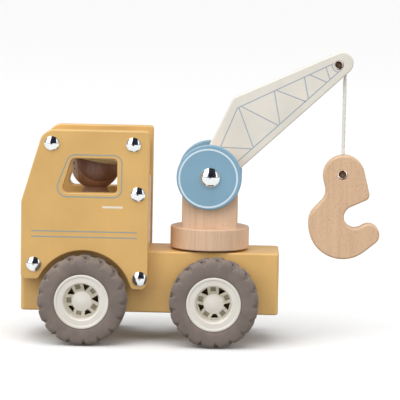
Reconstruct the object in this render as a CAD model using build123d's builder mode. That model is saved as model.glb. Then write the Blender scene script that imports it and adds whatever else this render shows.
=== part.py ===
from build123d import *
import os
from math import acos, asin, atan2, cos, hypot, radians, sin, sqrt

os.makedirs("parts", exist_ok=True)

# A wooden toy crane truck. +X is the rear, -Y the near side, +Z up.
# The origin is on the ground, under the middle of the truck and its hook.

# Chassis block
half_length = 134.9  # half of the overall length, nose to hook tip
chassis_front = -half_length
chassis_length = 194.0
chassis_rear = chassis_front + chassis_length
chassis_depth = 50.0
chassis_bottom = 22.5
chassis_top = 69.0
chassis_mid_x = (chassis_front + chassis_rear) / 2
side_y = chassis_depth / 2

# Wheels
wheel_radius = 33.3
tyre_width = 23.0
rim_radius = 20.3
lip_radius = 13.4
dish_depth = 13.0
boss_radius = 5.6
cap_radius = 7.5
cap_skirt = 1.5
cap_rise = 1.9
wheel_inner_y = side_y + 1.5
wheel_outer_y = wheel_inner_y + tyre_width
front_axle_x = -87.1
rear_axle_x = 11.0
axle_radius = 2.5
axle_half = 40.0
bush_radius = 4.5
bush_length = 12.0
bush_flange = 1.0
running_gap = 0.05
front_spoke_angle = 3.7
rear_spoke_angle = 58.0

# Cab
panel_thickness = 10.0
panel_y = side_y + panel_thickness
cab_front = -134.0
cab_rear = -38.9
cab_top = 159.7
slant_foot_z = 106.2
slant_top_x = -117.9
front_lobe_z = 47.5
rear_lobe_z = 41.1
arch_radius = 36.4
window_low_z = 112.9
window_high_z = 138.6
window_front_low_x = -104.6
window_front_high_x = -96.5
window_rear_x = -62.6
rear_wall_x = (-52.0, -40.0)
rear_wall_top = 122.6
front_wall_x = (-132.5, -120.5)
front_wall_top = 101.0
bar_radius = 6.0
cab_bolts_xz = [(-111.5, 149.6), (-50.8, 149.6), (-47.0, 112.7), (-124.1, 59.0), (-44.8, 49.4)]
bar_places = cab_bolts_xz[:2]
wall_bolt = cab_bolts_xz[2]
chassis_bolts = cab_bolts_xz[3:]
bolt_radius = 3.0
bolt_clearance = 0.1
dome_radius = 5.5
dome_height = 3.2
dome_rim = 0.7
nut_grip = 5.0

# Turntable, post and jib pivot
tower_x = 6.3
turntable_radius = 29.9
turntable_low_z = 70.5
turntable_high_z = 86.5
washer_radius = 24.0
post_width = 41.8
post_depth = 40.0
jib_pivot_z = 125.5
post_top_radius = 20.9
slot_width = 14.4
slot_floor_z = 112.5
drum_radius = 24.4
drum_thickness = 6.0
drum_shift_x = -0.8
drum_dome_radius = 7.7
drum_dome_height = 4.6
pivot_head_radius = 6.5
pivot_cavity_radius = 8.0
pivot_cavity_top = 94.0
pivot_insert_low_z = 46.0
dowel_radius = 3.0
dowel_spread = 13.5

# Jib, measured from its pivot: circles whose hull is the board's outline
jib_thickness = 12.0
jib_tip = (97.2, 86.4, 8.4)
jib_circles = [(0.0, 0.0, 11.2), (18.7, 56.3, 3.5), jib_tip]
jib_hole = (94.6, 85.0)
jib_hole_radius = 3.25
jib_washer_radius = 9.0
jib_washer_thickness = 1.0

# String and hook; the hook's circles run anticlockwise from its head, measured
# from the point where the string enters it, and a hollow has a negative radius
string_radius = 1.35
string_x = 106.0
string_gap = 0.35  # from the string's ends to the link and the hook
exit_clearance = 1.5  # from the jib's edge to the point where the string bends
channel_radius = 1.7
channel_overrun = 3.0
lower_knot_radius = 2.9
hook_edge = 1.6
hook_thickness = 13.0
hook_top_z = 142.5
hook_circles = [
    (1.0, -15.8, 15.8),
    (-23.5, -27.5, -10.9),
    (-10.8, -50.8, 14.2),
    (1.1, -52.8, 26.2),
    (20.6, -60.0, 8.3),
    (10.1, -46.8, -8.4),
    (15.9, -29.7, 4.7),
]
hook_hole = (0.0, -15.0)
hook_hole_radius = 3.65
knot_radius = 2.7

# Driver
driver_x = -81.3
socket_depth = 4.5
socket_gap = 0.1
socket_radius = 15.4
driver_radius = 15.0
neck_radius = 9.1
neck_z = 114.0
head_z = 131.5
head_radius = 18.8
hat_radius = 20.8
hat_lift = 4.5  # from the head's middle up to the hat's brim
shoulder_drop = 13.0  # from the top of the neck down to the shoulder
shoulder_flare = (2.4, 8.5)  # beyond the neck, and above the shoulder
neck_overlap = 3.0
hat_gap = 0.02

near = Plane.XZ  # its normal points to the near side
far = Plane((0, 0, 0), x_dir=(1, 0, 0), z_dir=(0, 1, 0))


def save(builder, name):
    """Label a finished piece and write its STEP file."""
    builder.part.label = name
    export_step(builder.part, f"parts/{name}.step")


def tangent_outline(circles, centre_x, centre_z):
    """Draw arcs round signed circles, joined by their common tangent lines."""
    placed = [(centre_x + x, centre_z + z, r) for x, z, r in circles]
    count = len(placed)
    normals = []
    for i in range(count):
        x1, z1, r1 = placed[i]
        x2, z2, r2 = placed[(i + 1) % count]
        heading = atan2(z2 - z1, x2 - x1)
        normals.append(heading - acos((r1 - r2) / hypot(x2 - x1, z2 - z1)))
    for i in range(count):
        x, z, r = placed[i]
        before, after = normals[i - 1], normals[i]
        if r > 0 and after < before:
            after += radians(360)
        if r < 0 and after > before:
            after -= radians(360)
        middle = (before + after) / 2
        arc = [(x + r * cos(a), z + r * sin(a)) for a in (before, middle, after)]
        ThreePointArc(*arc)
        x2, z2, r2 = placed[(i + 1) % count]
        Line(arc[2], (x2 + r2 * cos(normals[i]), z2 + r2 * sin(normals[i])))


def cross_cylinder(x, z, radius, y_from, y_to):
    """Add a solid round bar along Y to the open part."""
    with BuildSketch(near.offset(-y_from)) as section:
        with Locations((x, z)):
            Circle(radius)
    extrude(section.sketch, amount=y_from - y_to)


# ---------------------------------------------------------------- chassis
with BuildPart() as chassis_block:
    with Locations((chassis_mid_x, 0, (chassis_bottom + chassis_top) / 2)):
        Box(chassis_length, chassis_depth, chassis_top - chassis_bottom)
    fillet(chassis_block.edges().filter_by(Axis.Z), radius=3)
    fillet(chassis_block.faces().filter_by(Axis.Z).edges(), radius=1.4)
    # cross bores for the axle bushes and the two chassis bolts
    with BuildSketch(near) as cross_bores:
        with Locations((front_axle_x, wheel_radius), (rear_axle_x, wheel_radius)):
            Circle(bush_radius)
        with Locations(*chassis_bolts):
            Circle(bolt_radius + bolt_clearance)
    extrude(amount=chassis_depth, both=True, mode=Mode.SUBTRACT)
    # blind seat for the pivot insert, and the driver's socket
    with BuildSketch(Plane.XY.offset(chassis_top)) as insert_seat:
        with Locations((tower_x, 0)):
            Circle(bush_radius)
    extrude(amount=pivot_insert_low_z - chassis_top, mode=Mode.SUBTRACT)
    with BuildSketch(Plane.XY.offset(chassis_top)) as driver_socket:
        with Locations((driver_x, 0)):
            Circle(socket_radius)
    extrude(amount=-socket_depth, mode=Mode.SUBTRACT)
save(chassis_block, "chassis_block")

# ---------------------------------------------------------------- cab
panel_corners = [
    (cab_front, front_lobe_z, 4),
    (cab_front, slant_foot_z, 9),
    (slant_top_x, cab_top, 11),
    (cab_rear, cab_top, 3),
    (cab_rear, rear_lobe_z, 5.5),
    (front_axle_x, rear_lobe_z, 0),
    (front_axle_x, front_lobe_z, 0),
]
window_corners = [
    (window_front_low_x, window_low_z, 4),
    (window_front_high_x, window_high_z, 3.5),
    (window_rear_x, window_high_z, 3),
    (window_rear_x, window_low_z, 3),
]


def arch_corners(sketch):
    """The two sharp corners where the wheel arch cuts the panel's foot."""
    centre = Vector(front_axle_x, wheel_radius)
    found = sketch.vertices()
    return [v for v in found if abs((Vector(v.X, v.Y) - centre).length - arch_radius) < 0.01]


with BuildSketch() as panel_outline:
    with BuildLine():
        FilletPolyline(
            *[(x, z) for x, z, _ in panel_corners],
            radius=[r for _, _, r in panel_corners],
            close=True,
        )
    make_face()
    with Locations((front_axle_x, wheel_radius)):
        Circle(arch_radius, mode=Mode.SUBTRACT)
    fillet(arch_corners(panel_outline), radius=3.5)
    with BuildLine():
        FilletPolyline(
            *[(x, z) for x, z, _ in window_corners],
            radius=[r for _, _, r in window_corners],
            close=True,
        )
    make_face(mode=Mode.SUBTRACT)

for side, far_face_y in (("near", -side_y), ("far", panel_y)):
    with BuildPart() as cab_side:
        with BuildSketch(near.offset(-far_face_y)):
            add(panel_outline.sketch)
        extrude(amount=panel_thickness)
        rims = cab_side.faces().filter_by(Axis.Y).edges()
        fillet(rims, radius=1.0)
        with BuildSketch(near.offset(-far_face_y)):
            with Locations(*cab_bolts_xz):
                Circle(bolt_radius + bolt_clearance)
        extrude(amount=panel_thickness, mode=Mode.SUBTRACT)
    save(cab_side, f"{side}_cab_side")

with BuildPart() as cab_front_wall:
    wall_height = front_wall_top - chassis_top
    with Locations((sum(front_wall_x) / 2, 0, chassis_top + wall_height / 2)):
        Box(front_wall_x[1] - front_wall_x[0], chassis_depth, wall_height)
    fillet(cab_front_wall.faces().sort_by(Axis.Z)[-1].edges().filter_by(Axis.Y), radius=2)
save(cab_front_wall, "cab_front_wall")

with BuildPart() as cab_rear_wall:
    wall_height = rear_wall_top - chassis_top
    with Locations((sum(rear_wall_x) / 2, 0, chassis_top + wall_height / 2)):
        Box(rear_wall_x[1] - rear_wall_x[0], chassis_depth, wall_height)
    fillet(cab_rear_wall.faces().sort_by(Axis.Z)[-1].edges().filter_by(Axis.Y), radius=1.5)
    with BuildSketch(near):
        with Locations(wall_bolt):
            Circle(bolt_radius + bolt_clearance)
    extrude(amount=chassis_depth, both=True, mode=Mode.SUBTRACT)
save(cab_rear_wall, "cab_rear_wall")

for name, place in zip(("cab_front_bar", "cab_rear_bar"), bar_places):
    with BuildPart() as cab_bar:
        with BuildSketch(near.offset(side_y)):
            with Locations(place):
                Circle(bar_radius)
                Circle(bolt_radius + bolt_clearance, mode=Mode.SUBTRACT)
        extrude(amount=-chassis_depth)
    save(cab_bar, name)


def crown_arc(radius, rim_y, crown_y):
    """Arc of a sphere centred on the axis, from a rim to the crown above it."""
    rise = crown_y - rim_y
    sphere = (radius**2 + rise**2) / (2 * rise)
    half_angle = asin(radius / abs(sphere)) / 2
    middle = (abs(sphere) * sin(half_angle), crown_y - sphere + sphere * cos(half_angle))
    ThreePointArc((radius, rim_y), middle, (0, crown_y))


def dome_profile(radius, height, outward):
    """Half section of a domed head: a low rim and a rounded crown, towards +Y or -Y."""
    with BuildLine() as outline:
        Polyline((0, 0), (radius, 0), (radius, outward * dome_rim))
        crown_arc(radius, outward * dome_rim, outward * height)
        Line((0, outward * height), (0, 0))
    make_face(outline.edges())


# Through bolts: domed head and shank from the near side, domed nut on the far side
with BuildPart() as cab_bolts:
    for x, z in cab_bolts_xz:
        with BuildSketch(Plane((x, -panel_y, z), x_dir=(1, 0, 0), z_dir=(0, 0, 1))):
            dome_profile(dome_radius, dome_height, -1)
        revolve(axis=Axis((x, 0, z), (0, 1, 0)))
        cross_cylinder(x, z, bolt_radius, -panel_y, panel_y - nut_grip)
save(cab_bolts, "cab_bolts")

with BuildPart() as cab_cap_nuts:
    for x, z in cab_bolts_xz:
        with BuildSketch(Plane((x, panel_y, z), x_dir=(1, 0, 0), z_dir=(0, 0, 1))):
            dome_profile(dome_radius, dome_height, 1)
        revolve(axis=Axis((x, 0, z), (0, 1, 0)))
        cross_cylinder(x, z, bolt_radius, panel_y - nut_grip + bolt_clearance, panel_y)
save(cab_cap_nuts, "cab_cap_nuts")

# ---------------------------------------------------------------- wheels
opening_reach = 10.0
opening_radius = 3.5
pocket_reach = 10.2
pocket_size = (3.8, 4.0)
pocket_depth = 1.4
boss_proud = 0.3
core_recess = 1.0
flange_radius = 18.2  # inside of the rim's raised outer flange
rim_edge = 0.45  # height of the flange, and its chamfers
dish_taper = 0.8
rim_step = 3.5  # thickness of the rim's two outer rings
hub_cap_y = wheel_outer_y - 5.0
floor_y = wheel_outer_y - dish_depth
core_depth = floor_y - wheel_inner_y
rim_barrel_radius = rim_radius - 2.8
core_radius = rim_barrel_radius - 2.5
spoke_count = 5
half_pitch = 180 / spoke_count
tyre_shoulder = 3.0
tyre_wall = 5.5
cap_taper = 0.6


def wheel_profile(points):
    """Half section of a wheel piece, drawn as (radius, distance outward)."""
    with BuildLine() as outline:
        Polyline(*points, close=True)
    make_face(outline.edges())


axles = (
    ("front", front_axle_x, front_spoke_angle),
    ("rear", rear_axle_x, rear_spoke_angle),
)
for end, axle_x, spoke_angle in axles:
    spin_axis = Axis((axle_x, 0, wheel_radius), (0, 1, 0))
    for side, sign in (("near", -1), ("far", 1)):
        # local x is the radius, local y points outward from the truck
        section_plane = Plane(
            (axle_x, 0, wheel_radius), x_dir=(1, 0, 0), z_dir=(0, 0, sign)
        )
        outward = near if side == "near" else far
        up = 1 if side == "near" else -1

        with BuildPart() as tyre:
            with BuildSketch(section_plane):
                wheel_profile(
                    [
                        (rim_radius, wheel_inner_y),
                        (wheel_radius - tyre_shoulder, wheel_inner_y),
                        (wheel_radius, wheel_inner_y + tyre_wall),
                        (wheel_radius, wheel_outer_y - tyre_wall),
                        (wheel_radius - tyre_shoulder, wheel_outer_y),
                        (rim_radius, wheel_outer_y),
                        (rim_radius, wheel_outer_y - rim_step),
                        (rim_barrel_radius, wheel_outer_y - rim_step),
                        (rim_barrel_radius, wheel_inner_y + rim_step),
                        (rim_radius, wheel_inner_y + rim_step),
                    ]
                )
            revolve(axis=spin_axis)
        save(tyre, f"{end}_{side}_tyre")

        with BuildPart() as rim:
            with BuildSketch(section_plane):
                wheel_profile(
                    [
                        (axle_radius, wheel_inner_y - boss_proud),
                        (boss_radius, wheel_inner_y - boss_proud),
                        (boss_radius, wheel_inner_y + core_recess),
                        (core_radius, wheel_inner_y + core_recess),
                        (core_radius, wheel_inner_y),
                        (rim_radius, wheel_inner_y),
                        (rim_radius, wheel_inner_y + rim_step),
                        (rim_barrel_radius, wheel_inner_y + rim_step),
                        (rim_barrel_radius, wheel_outer_y - rim_step),
                        (rim_radius, wheel_outer_y - rim_step),
                        (rim_radius, wheel_outer_y - rim_edge),
                        (rim_radius - rim_edge, wheel_outer_y),
                        (flange_radius + rim_edge, wheel_outer_y),
                        (flange_radius, wheel_outer_y - rim_edge),
                        (lip_radius + 2 * rim_edge, wheel_outer_y - rim_edge),
                        (lip_radius, wheel_outer_y - 3 * rim_edge),
                        (lip_radius - dish_taper, floor_y),
                        (boss_radius, floor_y),
                        (boss_radius, hub_cap_y - cap_skirt),
                        (axle_radius, hub_cap_y - cap_skirt),
                    ]
                )
            revolve(axis=spin_axis)
            # five triangular openings through the core, and five shallow pockets
            place = (axle_x, up * wheel_radius)
            with BuildSketch(outward.offset(floor_y)):
                with Locations(place):
                    with PolarLocations(opening_reach, spoke_count, start_angle=up * spoke_angle):
                        RegularPolygon(opening_radius, 3, rotation=180)
            extrude(amount=-core_depth, mode=Mode.SUBTRACT)
            pocket_angle = up * (spoke_angle + half_pitch)
            with BuildSketch(outward.offset(floor_y)):
                with Locations(place):
                    with PolarLocations(pocket_reach, spoke_count, start_angle=pocket_angle):
                        Rectangle(*pocket_size)
            extrude(amount=-pocket_depth, mode=Mode.SUBTRACT)
        save(rim, f"{end}_{side}_rim")

        with BuildPart() as hub_cap:
            with BuildSketch(section_plane):
                with BuildLine():
                    Polyline(
                        (0, hub_cap_y - cap_skirt),
                        (cap_radius - cap_taper, hub_cap_y - cap_skirt),
                        (cap_radius, hub_cap_y),
                    )
                    crown_arc(cap_radius, hub_cap_y, hub_cap_y + cap_rise)
                    Line((0, hub_cap_y + cap_rise), (0, hub_cap_y - cap_skirt))
                make_face()
            revolve(axis=spin_axis)
        save(hub_cap, f"{end}_{side}_hub_cap")

    with BuildPart() as axle:
        axle_end = hub_cap_y - cap_skirt
        cross_cylinder(axle_x, wheel_radius, axle_radius, -axle_end, axle_end)
    save(axle, f"{end}_axle")

    with BuildPart() as axle_bushes:
        for sign in (-1, 1):
            bush_plane = Plane((axle_x, 0, wheel_radius), x_dir=(1, 0, 0), z_dir=(0, 0, sign))
            with BuildSketch(bush_plane):
                wheel_profile(
                    [
                        (axle_radius + running_gap, side_y - bush_length),
                        (bush_radius, side_y - bush_length),
                        (bush_radius, side_y),
                        (bush_radius + 2.0, side_y),
                        (bush_radius + 2.0, side_y + bush_flange),
                        (axle_radius + running_gap, side_y + bush_flange),
                    ]
                )
            revolve(axis=spin_axis)
    save(axle_bushes, f"{end}_axle_bushes")

# ---------------------------------------------------------------- turntable
pivot_head_z = turntable_high_z + 1.2
with BuildPart() as turntable_washer:
    with BuildSketch(Plane.XY.offset(chassis_top)):
        with Locations((tower_x, 0)):
            Circle(washer_radius)
            Circle(bush_radius + 0.5, mode=Mode.SUBTRACT)
    extrude(amount=turntable_low_z - chassis_top - 0.1)
save(turntable_washer, "turntable_washer")

with BuildPart() as turntable:
    with BuildSketch(Plane.XY.offset(turntable_low_z)):
        with Locations((tower_x, 0)):
            Circle(turntable_radius)
    extrude(amount=turntable_high_z - turntable_low_z)
    fillet(turntable.edges(), radius=0.9)
    with BuildSketch(Plane.XY.offset(turntable_low_z)):
        with Locations((tower_x, 0)):
            Circle(bolt_radius + running_gap)
            with GridLocations(2 * dowel_spread, 0, 2, 1):
                Circle(dowel_radius)
    extrude(amount=turntable_high_z - turntable_low_z, mode=Mode.SUBTRACT)
save(turntable, "turntable")

with BuildPart() as pivot_bolt:
    with BuildSketch(Plane.XY.offset(pivot_insert_low_z + 3)):
        with Locations((tower_x, 0)):
            Circle(bolt_radius)
    extrude(amount=pivot_head_z - pivot_insert_low_z - 3)
    with BuildSketch(Plane.XY.offset(pivot_head_z)):
        with Locations((tower_x, 0)):
            Circle(pivot_head_radius)
    extrude(amount=4)
save(pivot_bolt, "pivot_bolt")

with BuildPart() as pivot_insert:
    with BuildSketch(Plane.XY.offset(pivot_insert_low_z)):
        with Locations((tower_x, 0)):
            Circle(bush_radius)
    extrude(amount=chassis_top - pivot_insert_low_z)
    with BuildSketch(Plane.XY.offset(pivot_insert_low_z + 3)):
        with Locations((tower_x, 0)):
            Circle(bolt_radius)
    extrude(amount=chassis_top - pivot_insert_low_z, mode=Mode.SUBTRACT)
save(pivot_insert, "pivot_insert")

# ---------------------------------------------------------------- post
dowel_low_z = turntable_low_z + 4
dowel_length = 24.0
with BuildPart() as post:
    with BuildSketch(near.offset(post_depth / 2)):
        with Locations((tower_x, (turntable_high_z + jib_pivot_z) / 2)):
            Rectangle(post_width, jib_pivot_z - turntable_high_z)
        with Locations((tower_x, jib_pivot_z)):
            Circle(post_top_radius)
    extrude(amount=-post_depth)
    uprights = post.edges().filter_by(Axis.Z)
    fillet(uprights, radius=1.8)
    with BuildSketch(near.offset(slot_width / 2)):
        with Locations((tower_x, slot_floor_z + post_width / 2)):
            Rectangle(2 * post_width, post_width)
    extrude(amount=-slot_width, mode=Mode.SUBTRACT)
    with BuildSketch(near):
        with Locations((tower_x, jib_pivot_z)):
            Circle(bolt_radius + bolt_clearance)
    extrude(amount=post_depth, both=True, mode=Mode.SUBTRACT)
    with BuildSketch(Plane.XY.offset(turntable_high_z)):
        with Locations((tower_x, 0)):
            Circle(pivot_cavity_radius)
    extrude(amount=pivot_cavity_top - turntable_high_z, mode=Mode.SUBTRACT)
    with BuildSketch(Plane.XY.offset(turntable_high_z)):
        with Locations((tower_x, 0)):
            with GridLocations(2 * dowel_spread, 0, 2, 1):
                Circle(dowel_radius)
    extrude(amount=dowel_low_z + dowel_length + 0.5 - turntable_high_z, mode=Mode.SUBTRACT)
save(post, "post")

with BuildPart() as post_dowels:
    with BuildSketch(Plane.XY.offset(dowel_low_z)):
        with Locations((tower_x, 0)):
            with GridLocations(2 * dowel_spread, 0, 2, 1):
                Circle(dowel_radius - 0.02)
    extrude(amount=dowel_length)
save(post_dowels, "post_dowels")

# ---------------------------------------------------------------- drum
post_y = post_depth / 2
drum_y = post_y + drum_thickness
for side, far_face_y in (("near", -post_y), ("far", drum_y)):
    with BuildPart() as drum_disc:
        with BuildSketch(near.offset(-far_face_y)):
            with Locations((tower_x + drum_shift_x, jib_pivot_z)):
                Circle(drum_radius)
        extrude(amount=drum_thickness)
        fillet(drum_disc.edges(), radius=1.2)
        with BuildSketch(near.offset(-far_face_y)):
            with Locations((tower_x, jib_pivot_z)):
                Circle(bolt_radius + bolt_clearance)
        extrude(amount=drum_thickness, mode=Mode.SUBTRACT)
    save(drum_disc, f"{side}_drum_disc")

drum_axis = Axis((tower_x, 0, jib_pivot_z), (0, 1, 0))
with BuildPart() as jib_bolt:
    with BuildSketch(Plane((tower_x, -drum_y, jib_pivot_z), x_dir=(1, 0, 0), z_dir=(0, 0, 1))):
        dome_profile(drum_dome_radius, drum_dome_height, -1)
    revolve(axis=drum_axis)
    cross_cylinder(tower_x, jib_pivot_z, bolt_radius, -drum_y, drum_y - nut_grip)
save(jib_bolt, "jib_bolt")

with BuildPart() as jib_cap_nut:
    with BuildSketch(Plane((tower_x, drum_y, jib_pivot_z), x_dir=(1, 0, 0), z_dir=(0, 0, 1))):
        dome_profile(drum_dome_radius, drum_dome_height, 1)
    revolve(axis=drum_axis)
    cross_cylinder(tower_x, jib_pivot_z, bolt_radius, drum_y - nut_grip + bolt_clearance, drum_y)
save(jib_cap_nut, "jib_cap_nut")

# ---------------------------------------------------------------- jib
hole_x = tower_x + jib_hole[0]
hole_z = jib_pivot_z + jib_hole[1]
exit_reach = jib_tip[2] + exit_clearance
exit_offset = string_x - tower_x - jib_tip[0]
string_exit_z = jib_pivot_z + jib_tip[1] - sqrt(exit_reach**2 - exit_offset**2)
channel_run = hypot(string_x - hole_x, string_exit_z - hole_z)
channel_dir = ((string_x - hole_x) / channel_run, 0, (string_exit_z - hole_z) / channel_run)
channel_side = (channel_dir[2], 0, -channel_dir[0])

with BuildPart() as jib:
    with BuildSketch(near.offset(jib_thickness / 2)):
        with BuildLine():
            tangent_outline(jib_circles[::-1], tower_x, jib_pivot_z)
        make_face()
    extrude(amount=-jib_thickness)
    fillet(jib.faces().filter_by(Axis.Y).edges(), radius=1.1)
    with BuildSketch(near):
        with Locations((tower_x, jib_pivot_z)):
            Circle(bolt_radius + running_gap)
        with Locations((hole_x, hole_z)):
            Circle(jib_hole_radius)
    extrude(amount=jib_thickness, both=True, mode=Mode.SUBTRACT)
    with BuildSketch(Plane((hole_x, 0, hole_z), x_dir=channel_side, z_dir=channel_dir)):
        Circle(channel_radius)
    extrude(amount=channel_run + 2 * channel_overrun, mode=Mode.SUBTRACT)
save(jib, "jib")

with BuildPart() as jib_washers:
    washer_y = jib_thickness / 2
    for y_low in (-washer_y - jib_washer_thickness, washer_y):
        with BuildSketch(near.offset(-y_low)):
            with Locations((tower_x, jib_pivot_z)):
                Circle(jib_washer_radius)
                Circle(bolt_radius + running_gap, mode=Mode.SUBTRACT)
        extrude(amount=-jib_washer_thickness)
save(jib_washers, "jib_washers")

# ---------------------------------------------------------------- string
with BuildPart() as upper_knot:
    with Locations((hole_x, 0, hole_z)):
        Sphere(knot_radius)
    with BuildSketch(Plane((hole_x, 0, hole_z), x_dir=channel_side, z_dir=channel_dir)):
        Circle(string_radius)
    extrude(amount=channel_run - string_radius - string_gap)
save(upper_knot, "upper_knot")

with BuildPart() as string_link:
    with Locations((string_x, 0, string_exit_z)):
        Sphere(string_radius)
save(string_link, "string_link")

string_high_z = string_exit_z - string_radius - string_gap
with BuildPart() as string:
    with BuildSketch(Plane.XY.offset(hook_top_z + string_gap)):
        with Locations((string_x, 0)):
            Circle(string_radius)
    extrude(amount=string_high_z - hook_top_z - string_gap)
save(string, "string")

# ---------------------------------------------------------------- hook
with BuildPart() as hook:
    with BuildSketch(near.offset(hook_thickness / 2)):
        with BuildLine():
            tangent_outline(hook_circles, string_x, hook_top_z)
        make_face()
    extrude(amount=-hook_thickness)
    fillet(hook.faces().filter_by(Axis.Y).edges(), radius=hook_edge)
    with BuildSketch(near):
        with Locations((string_x + hook_hole[0], hook_top_z + hook_hole[1])):
            Circle(hook_hole_radius)
    extrude(amount=hook_thickness, both=True, mode=Mode.SUBTRACT)
    with BuildSketch(Plane.XY.offset(hook_top_z + hook_hole[1])):
        with Locations((string_x, 0)):
            Circle(channel_radius)
    extrude(amount=channel_overrun - hook_hole[1], mode=Mode.SUBTRACT)
save(hook, "hook")

with BuildPart() as lower_knot:
    knot_z = hook_top_z + hook_hole[1]
    with Locations((string_x, 0, knot_z)):
        Sphere(lower_knot_radius)
    with BuildSketch(Plane.XY.offset(knot_z)):
        with Locations((string_x, 0)):
            Circle(string_radius)
    extrude(amount=-hook_hole[1])
save(lower_knot, "lower_knot")

# ---------------------------------------------------------------- driver
driver_foot_z = chassis_top - socket_depth + socket_gap
driver_axis = Axis((driver_x, 0, 0), (0, 0, 1))
driver_plane = Plane((driver_x, 0, 0), x_dir=(1, 0, 0), z_dir=(0, -1, 0))
shoulder_z = neck_z - shoulder_drop
flare_point = (neck_radius + shoulder_flare[0], shoulder_z + shoulder_flare[1])

with BuildPart() as driver_body:
    with BuildSketch(driver_plane):
        with BuildLine():
            Polyline((0, driver_foot_z), (driver_radius, driver_foot_z),
                     (driver_radius, shoulder_z))
            Spline((driver_radius, shoulder_z), flare_point, (neck_radius, neck_z),
                   tangents=((0, 1), (0, 1)))
            Polyline((neck_radius, neck_z), (neck_radius, neck_z + neck_overlap),
                     (0, neck_z + neck_overlap), (0, driver_foot_z))
        make_face()
    revolve(axis=driver_axis)
    with Locations((driver_x, 0, head_z)):
        Sphere(head_radius, mode=Mode.SUBTRACT)
save(driver_body, "driver_body")

with BuildPart() as driver_head:
    with Locations((driver_x, 0, head_z)):
        Sphere(head_radius)
save(driver_head, "driver_head")

hat_brim_z = head_z + hat_lift
with BuildPart() as driver_hat:
    with Locations((driver_x, 0, head_z)):
        Sphere(hat_radius)
        Sphere(head_radius + hat_gap, mode=Mode.SUBTRACT)
    with BuildSketch(Plane.XY.offset(hat_brim_z)):
        with Locations((driver_x, 0)):
            Circle(hat_radius * 2)
    extrude(amount=-hat_radius * 2, mode=Mode.SUBTRACT)
save(driver_hat, "driver_hat")
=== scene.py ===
import math

import bmesh
import bpy
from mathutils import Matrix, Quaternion, Vector


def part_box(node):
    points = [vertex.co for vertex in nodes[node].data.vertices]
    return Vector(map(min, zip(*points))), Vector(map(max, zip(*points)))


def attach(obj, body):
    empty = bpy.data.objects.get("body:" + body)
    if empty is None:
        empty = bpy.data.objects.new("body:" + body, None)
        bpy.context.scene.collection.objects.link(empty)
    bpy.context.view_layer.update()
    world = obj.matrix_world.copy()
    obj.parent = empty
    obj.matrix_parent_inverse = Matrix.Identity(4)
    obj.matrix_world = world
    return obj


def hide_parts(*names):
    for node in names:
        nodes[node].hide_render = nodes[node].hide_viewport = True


# A wooden toy crane truck. Lengths are millimetres until add_mesh writes them in
# metres. +X is the rear, -Y the near side, +Z up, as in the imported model.
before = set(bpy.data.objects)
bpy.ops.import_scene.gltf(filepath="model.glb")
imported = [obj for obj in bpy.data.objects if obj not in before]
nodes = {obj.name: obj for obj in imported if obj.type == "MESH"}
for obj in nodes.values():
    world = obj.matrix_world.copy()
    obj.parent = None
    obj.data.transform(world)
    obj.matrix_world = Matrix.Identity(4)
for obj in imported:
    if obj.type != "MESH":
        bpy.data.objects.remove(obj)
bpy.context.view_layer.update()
MM = 0.001


def corners(node):
    """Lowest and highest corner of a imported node, in millimetres."""
    low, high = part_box(node)
    return low / MM, high / MM


def middle(node):
    low, high = corners(node)
    return (low + high) / 2


# ------------------------------------------------------------------ camera
AZIMUTH, ELEVATION, ROLL = (math.radians(a) for a in (1.33, 6.25, 1.08))
TARGET = Vector((-1.6, 0.0, 105.84))
DISTANCE = 1520.0


def make_camera():
    camera = bpy.data.objects.new("camera", bpy.data.cameras.new("camera"))
    bpy.context.scene.collection.objects.link(camera)
    camera.data.lens = 180
    camera.data.sensor_width = 36
    camera.data.clip_end = 200
    back = Vector(
        (
            math.sin(AZIMUTH) * math.cos(ELEVATION),
            -math.cos(AZIMUTH) * math.cos(ELEVATION),
            math.sin(ELEVATION),
        )
    )
    camera.location = (TARGET + back * DISTANCE) * MM
    camera.rotation_mode = "QUATERNION"
    level = (-back).to_track_quat("-Z", "Y")
    camera.rotation_quaternion = level @ Quaternion((0, 0, 1), ROLL)
    bpy.context.scene.camera = camera


make_camera()


# ------------------------------------------------------------------ materials
def linear(red, green, blue):
    """A colour of 0 to 255 as seen on a screen, in linear light."""
    parts = []
    for part in (red, green, blue):
        part /= 255
        parts.append(part / 12.92 if part <= 0.04045 else ((part + 0.055) / 1.055) ** 2.4)
    return (*parts, 1.0)


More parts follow.
